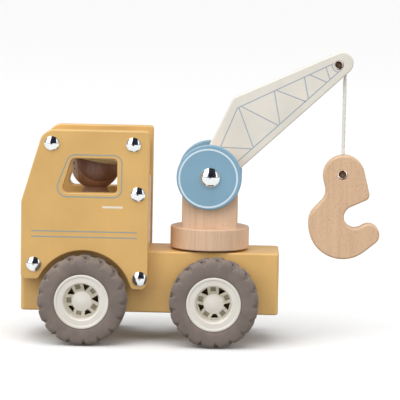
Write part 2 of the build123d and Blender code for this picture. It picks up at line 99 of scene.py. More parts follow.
class Surface:
    """A node material that is put together step by step."""

    def __init__(self, name, **sockets):
        self.material = bpy.data.materials.new(name)
        self.material.use_nodes = True
        self.tree = self.material.node_tree
        self.shader = self.tree.nodes["Principled BSDF"]
        for socket, value in sockets.items():
            self.shader.inputs[socket.replace("_", " ")].default_value = value
        self.place = self.add("TexCoord").outputs["Object"]

    @classmethod
    def over(cls, material):
        """Goes on with a material that is already made."""
        surface = cls.__new__(cls)
        surface.material, surface.tree = material, material.node_tree
        surface.shader = surface.tree.nodes["Principled BSDF"]
        surface.place = surface.add("TexCoord").outputs["Object"]
        surface.colour = surface.shader.inputs["Base Color"].links[0].from_socket
        return surface

    def add(self, kind, *inputs, **settings):
        node = self.tree.nodes.new("ShaderNode" + kind)
        for key, value in settings.items():
            setattr(node, key, value)
        for index, value in enumerate(inputs):
            self.feed(node.inputs[index], value)
        return node

    def feed(self, socket, value):
        if isinstance(value, bpy.types.NodeSocket):
            self.tree.links.new(value, socket)
        elif value is not None:
            socket.default_value = value

    def maths(self, operation, *inputs, clamp=False):
        return self.add("Math", *inputs, operation=operation, use_clamp=clamp).outputs[0]

    def scaled(self, x, y, z, shift=(0, 0, 0)):
        """The place on the object, stretched by so many units a metre."""
        node = self.add("Mapping", self.place)
        node.inputs["Scale"].default_value = (x, y, z)
        node.inputs["Location"].default_value = shift
        return node.outputs[0]

    def noise(self, where, scale=1.0, detail=2.0, roughness=0.5):
        node = self.add("TexNoise")
        self.feed(node.inputs["Vector"], where)
        node.inputs["Scale"].default_value = scale
        node.inputs["Detail"].default_value = detail
        node.inputs["Roughness"].default_value = roughness
        return node.outputs["Fac"]

    def span(self, value, low, high, to_low=0.0, to_high=1.0):
        """Maps low..high to to_low..to_high, and holds the ends."""
        node = self.add("MapRange", value, low, high, to_low, to_high)
        return node.outputs[0]

    def blend(self, factor, first, second):
        node = self.add("Mix", data_type="RGBA")
        self.feed(node.inputs["Factor"], factor)
        self.feed(node.inputs[6], first)
        self.feed(node.inputs[7], second)
        return node.outputs[2]

    def axes(self):
        node = self.add("SeparateXYZ", self.place)
        return node.outputs

    def edge(self, width=1.2 * MM):
        """1 near a rounded edge and 0 on a flat face."""
        rounded = self.add("Bevel", width, samples=6)
        normal = self.add("NewGeometry").outputs["Normal"]
        dot = self.add("VectorMath", rounded.outputs[0], normal, operation="DOT_PRODUCT")
        return self.span(dot.outputs["Value"], 0.995, 0.93)

    def bump(self, height, strength, distance):
        node = self.add("Bump")
        node.inputs["Strength"].default_value = strength
        node.inputs["Distance"].default_value = distance * MM
        self.feed(node.inputs["Height"], height)
        self.tree.links.new(node.outputs[0], self.shader.inputs["Normal"])

    def finish(self, colour, roughness=None):
        self.feed(self.shader.inputs["Base Color"], colour)
        self.feed(self.shader.inputs["Roughness"], roughness)
        return self.material


GRAIN = {"x": (12, 260, 260), "y": (260, 12, 260), "z": (260, 260, 12)}
FLECKS = {"x": (420, 2600, 2600), "y": (2600, 420, 2600), "z": (2600, 2600, 420)}


def painted(name, colour, worn, axis="x", roughness=0.42):
    """Satin paint over wood: faint grain, brush marks, and paler rounded edges, partly rubbed wear and
    partly a painted highlight.
    """
    s = Surface(name, Coat_Weight=0.08, Coat_Roughness=0.35, IOR=1.5)
    grain = s.noise(s.scaled(*GRAIN[axis]), detail=4)
    cloud = s.noise(s.place, scale=28, detail=3)
    speck = s.noise(s.place, scale=2600, detail=2)
    lighter = tuple(min(1, c * 1.07) for c in colour[:3]) + (1,)
    darker = tuple(c * 0.93 for c in colour[:3]) + (1,)
    mottled = s.blend(s.span(cloud, 0.3, 0.7), darker, lighter)
    grained = s.blend(s.span(grain, 0.45, 0.75, 0, 0.2), mottled, darker)
    dusty = s.blend(s.span(speck, 0.66, 0.8, 0, 0.22), grained, worn)
    # the paler colour on rounded edges is partly rubbed wear and partly a painted highlight where the
    # edges catch the light
    rubbed_and_highlit = s.maths("MULTIPLY", s.edge(), s.span(cloud, 0.25, 0.75, 0.25, 0.6))
    final = s.blend(rubbed_and_highlit, dusty, worn)
    s.bump(s.maths("MULTIPLY_ADD", grain, 0.7, speck), 0.16, 0.12)
    return s.finish(final, s.span(grain, 0.3, 0.8, roughness - 0.05, roughness + 0.08))


def bare_wood(name, light, dark, axis="z", flecks=0.55, rough=0.5, bands=0.5):
    """Varnished beech: broad growth bands and short dark flecks along the grain."""
    s = Surface(name, Coat_Weight=0.1, Coat_Roughness=0.3, IOR=1.5)
    band = s.noise(s.scaled(*GRAIN[axis]), detail=5, roughness=0.6)
    fine = s.noise(s.scaled(*(v * 2.6 for v in GRAIN[axis]), shift=(3, 1, 2)), detail=3)
    fleck = s.noise(s.scaled(*FLECKS[axis]), detail=1)
    patch = s.noise(s.place, scale=60, detail=2)
    base = s.blend(s.span(band, 0.35, 0.7, 0, bands), light, dark)
    lined = s.blend(s.span(fine, 0.5, 0.72, 0, 0.35), base, dark)
    dashes = s.maths("MULTIPLY", s.span(fleck, 0.62, 0.7), s.span(patch, 0.3, 0.7, 0.5, 1))
    final = s.blend(s.maths("MULTIPLY", dashes, flecks), lined, tuple(c * 0.5 for c in dark[:3]) + (1,))
    s.bump(s.maths("SUBTRACT", fine, dashes), 0.2, 0.1)
    return s.finish(final, s.span(band, 0.3, 0.7, rough - 0.06, rough + 0.08))


def bare_in_hole(material, hole_x, hole_z, radius, wood):
    """Shows bare wood inside a drilled cross hole of a painted board."""
    s = Surface.over(material)
    x, _, z = s.axes()
    across = s.maths("SUBTRACT", x, hole_x * MM)
    up = s.maths("SUBTRACT", z, hole_z * MM)
    square = s.maths("ADD", s.maths("MULTIPLY", across, across), s.maths("MULTIPLY", up, up))
    away = s.maths("SQRT", square)
    inside = s.span(away, (radius + 0.5) * MM, (radius + 0.2) * MM)
    s.feed(s.shader.inputs["Base Color"], s.blend(inside, s.colour, wood))


def chrome_metal():
    s = Surface("chrome", Metallic=1.0, IOR=2.5)
    haze = s.noise(s.place, scale=300, detail=3)
    tone = s.blend(s.span(haze, 0.3, 0.7), linear(226, 230, 230), linear(216, 220, 221))
    return s.finish(tone, s.span(haze, 0.3, 0.75, 0.035, 0.09))


def turned_metal(name, light, dark, rough=0.3):
    s = Surface(name, Metallic=1.0)
    lines = s.noise(s.scaled(900, 900, 4000), detail=3)
    tone = s.blend(lines, light, dark)
    s.bump(lines, 0.15, 0.05)
    return s.finish(tone, s.span(lines, 0.3, 0.7, rough, rough + 0.15))


def moulded(name, light, dark, rough=0.5, grain=1500, **sockets):
    """Moulded plastic or rubber with a fine matt texture and soft dirt."""
    s = Surface(name, **sockets)
    fine = s.noise(s.place, scale=grain, detail=3)
    cloud = s.noise(s.place, scale=70, detail=3)
    tone = s.blend(s.span(cloud, 0.3, 0.7), light, dark)
    s.bump(fine, 0.18, 0.12)
    return s.finish(tone, s.span(fine, 0.3, 0.7, rough - 0.06, rough + 0.08))


DISH_DEPTH = 13.0  # from the rim's outer face to its floor
DISH_GLOW = 0.13  # stands in for the light that comes through the thin plastic
GLOW_REACH = 9.0  # how far up the dish the glow fades out
# depths below the floor where the painted shade of a pocket, and then of an opening, starts and ends
POCKET_SHADE_DEPTHS = (0.2, 1.1)
OPENING_SHADE_DEPTHS = (1.5, 2.2)


def rim_material():
    """Off-white moulded plastic, dark inside the openings of the core as painted shade, with painted
    shade in the pockets and a painted glow up the dish.
    """
    s = Surface.over(
        moulded("rim_plastic", linear(234, 231, 223), linear(226, 221, 211), 0.42, Coat_Weight=0.05)
    )
    depth = s.maths("ABSOLUTE", s.axes()[1])
    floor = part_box("front_far_tyre")[1].y - DISH_DEPTH * MM
    in_pocket = s.span(depth, *(floor - below * MM for below in POCKET_SHADE_DEPTHS))
    in_opening = s.span(depth, *(floor - below * MM for below in OPENING_SHADE_DEPTHS))
    # painted shade: the pockets are greyed and the openings made nearly black
    shaded = s.blend(in_pocket, s.colour, linear(184, 180, 160))
    s.feed(s.shader.inputs["Base Color"], s.blend(in_opening, shaded, linear(34, 28, 22)))
    in_dish = s.span(depth, floor + GLOW_REACH * MM, floor)
    covered = s.maths("MAXIMUM", in_pocket, in_opening)
    glow = s.maths("SUBTRACT", in_dish, covered, clamp=True)
    s.shader.inputs["Emission Strength"].default_value = DISH_GLOW
    s.feed(s.shader.inputs["Emission Color"], s.blend(glow, linear(0, 0, 0), linear(236, 228, 206)))
    return s.material


def rubber():
    """Soft taupe rubber with a cloudy tone and pale dust specks."""
    s = Surface("rubber", Sheen_Weight=0.12, Sheen_Roughness=0.6)
    fine = s.noise(s.place, scale=1800, detail=3)
    cloud = s.noise(s.place, scale=90, detail=4)
    tone = s.blend(s.span(cloud, 0.3, 0.7), linear(130, 117, 109), linear(114, 102, 95))
    dusty = s.blend(s.span(fine, 0.6, 0.78, 0, 0.25), tone, linear(160, 148, 138))
    s.bump(fine, 0.25, 0.15)
    return s.finish(dusty, s.span(cloud, 0.3, 0.7, 0.66, 0.8))


def cotton(name, light, dark):
    s = Surface(name, Sheen_Weight=0.25, Sheen_Roughness=0.5)
    fibre = s.noise(s.scaled(3200, 3200, 900), detail=3)
    tone = s.blend(s.span(fibre, 0.3, 0.75), light, dark)
    s.bump(fibre, 0.4, 0.15)
    return s.finish(tone, 0.85)


def ink(name, colour, thin):
    """Screen-printed ink, a little thinner in places."""
    s = Surface(name)
    speck = s.noise(s.place, scale=1400, detail=3)
    cloud = s.noise(s.place, scale=120, detail=2)
    worn = s.maths("MULTIPLY", s.span(speck, 0.5, 0.75), s.span(cloud, 0.3, 0.7, 0.2, 0.7))
    s.bump(speck, 0.1, 0.05)
    return s.finish(s.blend(worn, colour, thin), s.span(speck, 0.3, 0.7, 0.4, 0.5))


HEAD = middle("driver_head")
HAIR_OVAL = (5.4, 5.2, 18.2, 16.6)  # centre behind and above the head's, half sizes
FACE_REACH, FACE_LEAN = 12.4, 0.08  # the face's edge ahead of the head's middle, and its slant


def head_paint():
    """Painted head: brown skin in front, darker hair behind an oval line."""
    s = Surface("head_paint", Coat_Weight=0.1, Coat_Roughness=0.4)
    x, _, z = s.axes()
    behind, above, half_long, half_high = HAIR_OVAL
    along = s.maths("DIVIDE", s.maths("SUBTRACT", x, (HEAD.x + behind) * MM), half_long * MM)
    up = s.maths("DIVIDE", s.maths("SUBTRACT", z, (HEAD.z + above) * MM), half_high * MM)
    oval = s.maths("ADD", s.maths("MULTIPLY", along, along), s.maths("MULTIPLY", up, up))
    behind_line = s.span(oval, 1.02, 0.98)
    strands = s.noise(s.scaled(700, 700, 120), detail=4)
    skin_cloud = s.noise(s.place, scale=90, detail=3)
    hair = s.blend(s.span(strands, 0.3, 0.7), linear(134, 100, 86), linear(112, 82, 70))
    skin = s.blend(s.span(skin_cloud, 0.3, 0.7), linear(170, 132, 108), linear(158, 120, 98))
    face = s.blend(s.span(skin_cloud, 0.3, 0.7), linear(190, 158, 134), linear(180, 148, 124))
    # the face is set off from the jaw by a fine line
    forward = s.maths("MULTIPLY_ADD", z, FACE_LEAN, x)
    edge = HEAD.x * MM + HEAD.z * MM * FACE_LEAN - FACE_REACH * MM
    skin = s.blend(s.span(forward, edge + 0.15 * MM, edge - 0.15 * MM), skin, face)
    off_line = s.maths("ABSOLUTE", s.maths("SUBTRACT", forward, edge + 0.2 * MM))
    skin = s.blend(s.span(off_line, 0.45 * MM, 0.25 * MM, 0, 0.6), skin, linear(92, 64, 50))
    off_hair = s.maths("ABSOLUTE", s.maths("SUBTRACT", oval, 1.0))
    seam = s.span(off_hair, 0.05, 0.02, 0, 0.6)
    s.bump(s.maths("MULTIPLY", strands, behind_line), 0.25, 0.2)
    painted_head = s.blend(seam, s.blend(behind_line, skin, hair), linear(78, 52, 42))
    return s.finish(painted_head, s.span(skin_cloud, 0.3, 0.7, 0.4, 0.5))


SHOULDER_Z = 103.0


def body_paint():
    """Painted peg body: a blue coat with a skin-coloured neck."""
    s = Surface("body_paint", Coat_Weight=0.1, Coat_Roughness=0.4)
    z = s.axes()[2]
    weave = s.noise(s.scaled(900, 900, 300), detail=3)
    coat = s.blend(s.span(weave, 0.3, 0.7), linear(118, 140, 152), linear(100, 122, 136))
    skin = s.blend(s.span(weave, 0.3, 0.7), linear(168, 126, 98), linear(156, 116, 90))
    neck = s.span(z, (SHOULDER_Z - 0.2) * MM, (SHOULDER_Z + 0.2) * MM)
    s.bump(weave, 0.15, 0.1)
    return s.finish(s.blend(neck, coat, skin), s.span(weave, 0.3, 0.7, 0.42, 0.52))


OCHRE = linear(226, 183, 113)
# a paler ochre for dust specks, and for rounded edges as rubbed wear and painted highlight
OCHRE_WORN_AND_HIGHLIGHT = linear(240, 205, 155)
CREAM = linear(234, 229, 219)
BLUE = linear(134, 174, 198)
BEECH_LIGHT = linear(230, 197, 168)
BEECH_DARK = linear(205, 164, 128)

ochre_long = painted("ochre_long", OCHRE, OCHRE_WORN_AND_HIGHLIGHT, "x")
ochre_up = painted("ochre_up", OCHRE, OCHRE_WORN_AND_HIGHLIGHT, "z")
ochre_across = painted("ochre_across", OCHRE, OCHRE_WORN_AND_HIGHLIGHT, "y")
blue_paint = painted("blue_paint", BLUE, linear(170, 200, 218), "z")
cream_paint = painted("cream_paint", CREAM, linear(246, 241, 232), "x")
beech_post = bare_wood("beech_post", BEECH_LIGHT, BEECH_DARK, "z", flecks=0.35)
beech_turned = bare_wood("beech_turned", BEECH_LIGHT, BEECH_DARK, "z", flecks=0.25)
beech_hook = bare_wood(
    "beech_hook", linear(228, 194, 160), linear(204, 162, 126), "z", flecks=0.75, bands=0.35
)
beech_dowel = bare_wood("beech_dowel", BEECH_LIGHT, BEECH_DARK, "z")
chrome = chrome_metal()
steel = turned_metal("steel", linear(205, 205, 206), linear(180, 180, 182))
brass = turned_metal("brass", linear(214, 190, 130), linear(190, 160, 100))
nylon = moulded("nylon", linear(232, 230, 224), linear(222, 219, 210), 0.5)
fibre = moulded("fibre", linear(100, 94, 88), linear(80, 74, 70), 0.7)
rim_plastic = rim_material()
tyre_rubber = rubber()
string_cotton = cotton("cotton", linear(246, 245, 241), linear(222, 220, 212))
# the knots are the string's white cotton, painted brown as the shade inside the drilled holes
shaded_knot_cotton = cotton("shaded_knot_cotton", linear(170, 142, 122), linear(122, 94, 76))
print_grey = ink("print_grey", linear(158, 165, 160), linear(190, 172, 130))
print_jib = ink("print_jib", linear(164, 176, 190), linear(205, 205, 200))
print_ring = ink("print_ring", linear(222, 240, 252), linear(190, 215, 232))
print_handle = ink("print_handle", linear(248, 240, 226), linear(236, 214, 178))
eye_paint = ink("eye_paint", linear(42, 32, 30), linear(60, 46, 42))

KNOT_RADIUS = 2.7
JIB_HOLE_RADIUS = 3.25
knot_low, knot_high = corners("upper_knot")
JIB_HOLE_X = knot_low.x + KNOT_RADIUS  # the knot's ball sits in the middle of the hole
JIB_HOLE_Z = knot_high.z - KNOT_RADIUS
bare_in_hole(cream_paint, JIB_HOLE_X, JIB_HOLE_Z, JIB_HOLE_RADIUS, linear(150, 112, 84))

FINISHES = {
    "chassis_block": ochre_long,
    "near_cab_side": ochre_up,
    "far_cab_side": ochre_up,
    "cab_front_wall": ochre_across,
    "cab_rear_wall": ochre_across,
    "cab_front_bar": ochre_across,
    "cab_rear_bar": ochre_across,
    "cab_bolts": chrome,
    "cab_cap_nuts": chrome,
    "jib_bolt": chrome,
    "jib_cap_nut": chrome,
    "front_axle": steel,
    "rear_axle": steel,
    "pivot_bolt": steel,
    "pivot_insert": brass,
    "front_axle_bushes": nylon,
    "rear_axle_bushes": nylon,
    "turntable_washer": fibre,
    "jib_washers": fibre,
    "turntable": beech_turned,
    "post": beech_post,
    "post_dowels": beech_dowel,
    "near_drum_disc": blue_paint,
    "far_drum_disc": blue_paint,
    "jib": cream_paint,
    "hook": beech_hook,
    "upper_knot": shaded_knot_cotton,
    "lower_knot": shaded_knot_cotton,
    "string_link": string_cotton,
    "driver_head": head_paint(),
    "driver_body": body_paint(),
}
for end in ("front", "rear"):
    for side in ("near", "far"):
        FINISHES[f"{end}_{side}_rim"] = rim_plastic
        FINISHES[f"{end}_{side}_hub_cap"] = rim_plastic
for name, material in FINISHES.items():
    slots = nodes[name].data.materials
    slots.clear()
    slots.append(material)


# ------------------------------------------------------------------ mesh helpers
def add_mesh(name, vertices, faces, material, body, sharp=40):
    """A closed piece from vertices in millimetres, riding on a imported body."""
    mesh = bpy.data.meshes.new(name)
    mesh.from_pydata([tuple(c * MM for c in v) for v in vertices], [], faces)
    work = bmesh.new()
    work.from_mesh(mesh)
    bmesh.ops.recalc_face_normals(work, faces=work.faces)
    work.to_mesh(mesh)
    work.free()
    mesh.shade_smooth()
    mesh.set_sharp_from_angle(angle=math.radians(sharp))
    mesh.materials.append(material)
    piece = bpy.data.objects.new(name, mesh)
    bpy.context.scene.collection.objects.link(piece)
    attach(piece, body)
    return piece


def grid_faces(rows, columns, wrap_rows=True, wrap_columns=True):
    """Quads over a grid of vertices, closed round either way."""
    faces = []
    for row in range(rows if wrap_rows else rows - 1):
        below = (row + 1) % rows
        for column in range(columns if wrap_columns else columns - 1):
            right = (column + 1) % columns
            faces.append(
                (
                    row * columns + column,
                    row * columns + right,
                    below * columns + right,
                    below * columns + column,
                )
            )
    return faces


def arc(centre_x, centre_z, radius, start, end, steps):
    """Points on an arc, with its angles in degrees."""
    points = []
    for i in range(steps + 1):
        angle = math.radians(start + (end - start) * i / steps)
        points.append((centre_x + radius * math.cos(angle), centre_z + radius * math.sin(angle)))
    return points


def rounded_outline(corner_list, steps=8):
    """A closed outline from corners of (x, z, radius)."""
    points = []
    count = len(corner_list)
    for i, (x, z, radius) in enumerate(corner_list):
        here = Vector((x, z))
        to_last = (Vector(corner_list[i - 1][:2]) - here).normalized()
        to_next = (Vector(corner_list[(i + 1) % count][:2]) - here).normalized()
        half = to_last.angle(to_next) / 2
        centre = here + (to_last + to_next).normalized() * radius / math.sin(half)
        first = here + to_last * radius / math.tan(half) - centre
        last = here + to_next * radius / math.tan(half) - centre
        start = math.atan2(first.y, first.x)
        turn = (math.atan2(last.y, last.x) - start + math.pi) % math.tau - math.pi
        for step in range(steps + 1):
            angle = start + turn * step / steps
            points.append((centre.x + radius * math.cos(angle), centre.y + radius * math.sin(angle)))
    return points


INK_RAISE = 0.035
INK_SINK = 0.05
INK_STEP = 0.003  # crossing lines lie a little apart, so that they don't flicker
INK_LEVELS = 5


def ribbon(points, width, closed):
    """Left and right edges of a flat line drawn along points."""
    left, right = [], []
    count = len(points)
    for i, point in enumerate(points):
        here = Vector(point)
        before = Vector(points[i - 1]) if closed or i else here
        after = Vector(points[(i + 1) % count]) if closed or i + 1 < count else here
        first = (here - before).normalized() if before != here else (after - here).normalized()
        second = (after - here).normalized() if after != here else first
        along = (first + second).normalized()
        across = Vector((-along.y, along.x))
        reach = width / 2 / max(0.5, across.dot(Vector((-first.y, first.x))))
        left.append(here + across * reach)
        right.append(here - across * reach)
    return left, right


def add_print(name, lines, face_y, material, body):
    """Printed lines on an XZ face at y = face_y, each (points, width, closed)."""
    outward = 1 if face_y > 0 else -1
    vertices, faces = [], []
    for number, (points, width, closed) in enumerate(lines):
        left, right = ribbon(points, width, closed)
        top = face_y + outward * (INK_RAISE + INK_STEP * (number % INK_LEVELS))
        under = face_y - outward * INK_SINK
        base = len(vertices)
        for a, b in zip(left, right):
            vertices += [(a.x, top, a.y), (b.x, top, b.y), (b.x, under, b.y), (a.x, under, a.y)]
        rows = len(points)
        faces += [tuple(base + v for v in face) for face in grid_faces(rows, 4, closed, True)]
        if not closed:
            last = base + 4 * (rows - 1)
            faces += [tuple(range(base, base + 4)), tuple(range(last, last + 4))]
    return add_mesh(name, vertices, faces, material, body, sharp=30)


# ------------------------------------------------------------------ string
hook_top = corners("hook")[1].z
link = middle("string_link")
STRING_RADIUS = 1.35
BRAID_DEPTH = 0.14
BRAID_STARTS = 4
BRAID_PITCH = 5.2
STRING_DROP = 1.3  # the braid starts this far below the middle of the link's ball
STRING_TAPER = 1.6  # over this length the braid widens to its full size
TAPER_START = 0.6  # share of the full size at the braid's start
STRING_STOP = 0.4  # the braid ends this far above the hook


def string_route():
    """The string's own line, read from a smooth curve down to the hook."""
    top, bottom = link.z - STRING_DROP, hook_top + STRING_STOP
    curve = bpy.data.curves.new("route", "CURVE")
    curve.dimensions = "3D"
    spline = curve.splines.new("NURBS")
    spline.points.add(3)
    for i, point in enumerate(spline.points):
        height = top + (bottom - top) * i / 3
        point.co = (link.x * MM, 0.0, height * MM, 1.0)
    spline.order_u = 3
    spline.use_endpoint_u = True
    spline.resolution_u = 60
    route = bpy.data.objects.new("route", curve)
    bpy.context.scene.collection.objects.link(route)
    mesh = bpy.data.meshes.new_from_object(route)
    points = [v.co.copy() for v in mesh.vertices]
    bpy.data.objects.remove(route)
    bpy.data.meshes.remove(mesh)
    return points


def make_string():
    path = string_route()
    around = 40
    vertices = []
    travelled = 0.0
    for i, point in enumerate(path):
        travelled += (point - path[i - 1]).length / MM if i else 0.0
        twist = math.tau * travelled / BRAID_PITCH
        for k in range(around):
            angle = math.tau * k / around
            one = abs(math.cos((BRAID_STARTS * angle + twist) / 2))
            other = abs(math.cos((BRAID_STARTS * angle - twist) / 2))
            radius = STRING_RADIUS - BRAID_DEPTH * (1 - max(one, other) ** 2) * 2
            radius *= min(1.0, TAPER_START + (1 - TAPER_START) * travelled / STRING_TAPER)
            vertices.append(
                (
                    point.x / MM + radius * math.cos(angle),
                    point.y / MM + radius * math.sin(angle),
                    point.z / MM,
                )
            )
    faces = grid_faces(len(path), around, wrap_rows=False)
    last = around * (len(path) - 1)
    faces += [tuple(range(around)), tuple(range(last, last + around))]
    piece = add_mesh("string_braid", vertices, faces, string_cotton, "string", 60)
    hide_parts("string")


make_string()

# ------------------------------------------------------------------ tyres
LUGS = 17
LUG_TOP = ((0.0, 0.82), (0.07, 1.0), (0.3, 1.0), (0.5, 1.0), (0.7, 1.0), (0.93, 1.0), (1.0, 0.82))
LUG_GROOVE = ((0.12, 0.08), (0.35, 0.0), (0.65, 0.0), (0.88, 0.08))
# radius, distance from the tyre's middle plane, groove depth, groove share, slant
HALF_TYRE = (
    (20.32, 10.4, 0.0, 0.14, 0.0),
    (20.7, 10.95, 0.0, 0.14, 0.0),
    (21.8, 11.3, 0.0, 0.14, 0.0),
    (23.6, 11.5, 0.0, 0.14, 0.0),
    (25.6, 11.5, 0.0, 0.14, 0.0),
    (27.2, 11.4, 0.0, 0.14, 0.0),
    (28.2, 11.25, 0.0, 0.14, 0.0),
    (28.9, 11.2, 0.25, 0.16, 0.1),
    (29.8, 11.05, 0.8, 0.2, 0.3),
    (30.8, 10.7, 1.3, 0.25, 0.6),
    (31.7, 10.15, 1.7, 0.29, 0.9),
    (32.4, 9.4, 1.9, 0.32, 1.2),
    (32.9, 8.4, 2.0, 0.34, 1.6),
    (33.2, 7.2, 2.0, 0.35, 2.0),
    (33.3, 5.6, 2.0, 0.36, 2.7),
    (33.3, 3.6, 2.0, 0.36, 3.5),
    (33.3, 1.6, 2.0, 0.36, 4.3),
    (33.0, 0.9, 1.8, 0.36, 4.6),
    (31.3, 0.45, 0.0, 0.36, 4.6),
)
BORE = ((20.3, -8.0), (17.5, -8.0), (17.5, 8.0), (20.3, 8.0))


def tread_rings(mirror):
    """Rings of one half of a tyre, as functions of the place round it."""
    rings = []
    count = len(HALF_TYRE)
    for i, (radius, across, depth, share, slant) in enumerate(HALF_TYRE):
        last, following = HALF_TYRE[max(0, i - 1)], HALF_TYRE[min(count - 1, i + 1)]
        tangent = Vector((following[0] - last[0], following[1] - last[1])).normalized()
        inward = Vector((tangent.y, -tangent.x))
        if inward.x * radius + inward.y * across > 0:
            inward.negate()
        rings.append((radius, across * mirror, depth, share, slant, inward.x, inward.y * mirror))
    return rings if mirror < 0 else rings[::-1]


def make_tyre(end, side):
    name = f"{end}_{side}_tyre"
    low, high = corners(name)
    centre = (low + high) / 2
    outward = -1 if side == "near" else 1
    pitch = math.tau / LUGS
    vertices = []
    rings = tread_rings(1)[::-1] + tread_rings(-1)[::-1]
    for radius, across, depth, share, slant, in_r, in_w in rings:
        offset = 0 if across > 0 else pitch / 2
        for lug in range(LUGS):
            samples = [((1 - share) * t, h) for t, h in LUG_TOP]
            samples += [(1 - share + share * t, h) for t, h in LUG_GROOVE]
            for place, height in samples:
                angle = pitch * (lug + place) + offset + slant / radius
                sink = depth * (1 - height)
                r = radius + in_r * sink
                w = across + in_w * sink
                vertices.append(
                    (
                        centre.x + r * math.cos(angle),
                        centre.y + outward * w,
                        centre.z - outward * r * math.sin(angle),
                    )
                )
    per_ring = LUGS * (len(LUG_TOP) + len(LUG_GROOVE))
    for radius, across in BORE:
        for k in range(per_ring):
            angle = math.tau * k / per_ring
            vertices.append(
                (
                    centre.x + radius * math.cos(angle),
                    centre.y + outward * across,
                    centre.z - outward * radius * math.sin(angle),
                )
            )
    faces = grid_faces(len(rings) + len(BORE), per_ring)
    piece = add_mesh(f"{name}_tread", vertices, faces, tyre_rubber, f"{end}_wheels", 38)
    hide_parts(name)


for end in ("front", "rear"):
    for side in ("near", "far"):
        make_tyre(end, side)

# ------------------------------------------------------------------ printed lines
WINDOW_LINE = ((-110.3, 110.0, 7.2), (-98.3, 141.4, 6.4), (-59.2, 141.4, 6.0), (-59.2, 110.0, 6.0))
STRIPE_X = (-126.2, -47.2)
STRIPES_Z = (84.1, 79.9)
HANDLE_X, HANDLE_Z, HANDLE_WIDTH = (-73.0, -58.4), 102.7, 1.5
HANDLE_OVERLAP = 0.02
WINDOW_LINE_WIDTH = 1.0
STRIPE_WIDTH = 0.95
RING_RADIUS, RING_WIDTH = 21.6, 1.3
RING_SHIFT = (-0.7, -0.6)  # the ring is printed a little off the disc's middle
RING_STEPS = 120


def rounded_bar(x_from, x_to, z, width):
    """A straight line with rounded ends, as a closed outline of small width."""
    r = width / 4
    return arc(x_to - r, z, r, -90, 90, 8) + arc(x_from + r, z, r, 90, 270, 8)


for side in ("near", "far"):
    low, high = corners(f"{side}_cab_side")
    face_y = low.y if side == "near" else high.y
    lines = [(rounded_outline(WINDOW_LINE), WINDOW_LINE_WIDTH, True)]
    lines += [([(STRIPE_X[0], z), (STRIPE_X[1], z)], STRIPE_WIDTH, False) for z in STRIPES_Z]
    add_print(f"{side}_cab_lines", lines, face_y, print_grey, "truck")
    bar = rounded_bar(*HANDLE_X, HANDLE_Z, HANDLE_WIDTH)
    handle = [(bar, HANDLE_WIDTH / 2 + HANDLE_OVERLAP, True)]
    add_print(f"{side}_door_handle", handle, face_y, print_handle, "truck")

    low, high = corners(f"{side}_drum_disc")
    face_y = low.y if side == "near" else high.y
    centre = (low + high) / 2
    ring_x, ring_z = centre.x + RING_SHIFT[0], centre.z + RING_SHIFT[1]
    ring = [(arc(ring_x, ring_z, RING_RADIUS, 0, 360, RING_STEPS)[:-1], RING_WIDTH, True)]
    add_print(f"{side}_drum_ring", ring, face_y, print_ring, "crane")

# The jib's truss, measured from its pivot
TRUSS_FOOT = (4.8, 16.5)
TRUSS_BEND = (19.2, 51.3)
TRUSS_UPPER_END = (90.4, 86.0)
TRUSS_LOWER = ((16.5, 7.5), (97.0, 82.2))
TRUSS_MEMBERS = (
    ((6.9, 21.5), (30.9, 20.6)),
    ((20.2, 51.6), (31.8, 21.6)),
    ((21.9, 52.6), (50.2, 38.7)),
    ((46.6, 64.6), (51.4, 39.8)),
    ((48.0, 65.3), (70.2, 57.2)),
    ((68.9, 75.5), (72.3, 59.3)),
    ((72.9, 77.4), (85.9, 71.9)),
    ((84.9, 83.3), (88.1, 74.0)),
)
TRUSS_WIDTH = 0.75
TRUSS_EYE_RADIUS = 5.2
pivot = middle("jib_washers")
jib_low, jib_high = corners("jib")


def on_jib(points):
    return [(pivot.x + x, pivot.z + z) for x, z in points]


truss = [(on_jib([TRUSS_FOOT, TRUSS_BEND, TRUSS_UPPER_END]), TRUSS_WIDTH, False)]
truss += [(on_jib(TRUSS_LOWER), TRUSS_WIDTH, False)]
truss += [(on_jib(member), TRUSS_WIDTH, False) for member in TRUSS_MEMBERS]
truss += [(arc(JIB_HOLE_X, JIB_HOLE_Z, TRUSS_EYE_RADIUS, 180, 268, 16), TRUSS_WIDTH, False)]
add_print("near_jib_truss", truss, jib_low.y, print_jib, "jib")
add_print("far_jib_truss", truss, jib_high.y, print_jib, "jib")

# ------------------------------------------------------------------ driver
HEAD_RADIUS = 18.8
HAT_LIFT = 3.9
HAT_TILT = math.radians(10)
# radius and height of the cap's half section, from the inside of its roll to its crown
HAT_SECTION = (
    (18.45, 1.2),
    (18.55, 0.3),
    (19.2, -0.2),
    (19.9, 0.3),
    (20.1, 1.4),
    (19.9, 2.6),
    (19.3, 3.4),
    (18.95, 4.0),
    (18.8, 5.2),
    (18.0, 7.8),
    (16.4, 10.4),
    (14.0, 12.7),
    (10.8, 14.6),
    (7.0, 15.8),
    (2.8, 16.3),
    (0.0, 16.35),
)
HAT_LINING = ((18.5, 2.6), (16.2, 8.4), (10.6, 13.1), (4.2, 15.0))
HAT_RIBS = 24
RIB_DEPTH = 0.18
RIBBED_ROWS = range(2, 13)


def on_hat(radius, height, angle):
    """A point of the cap, which is tipped back on the head."""
    x, y = radius * math.cos(angle), radius * math.sin(angle)
    cos, sin = math.cos(HAT_TILT), math.sin(HAT_TILT)
    return HEAD + Vector((x * cos + height * sin, y, HAT_LIFT - x * sin + height * cos))


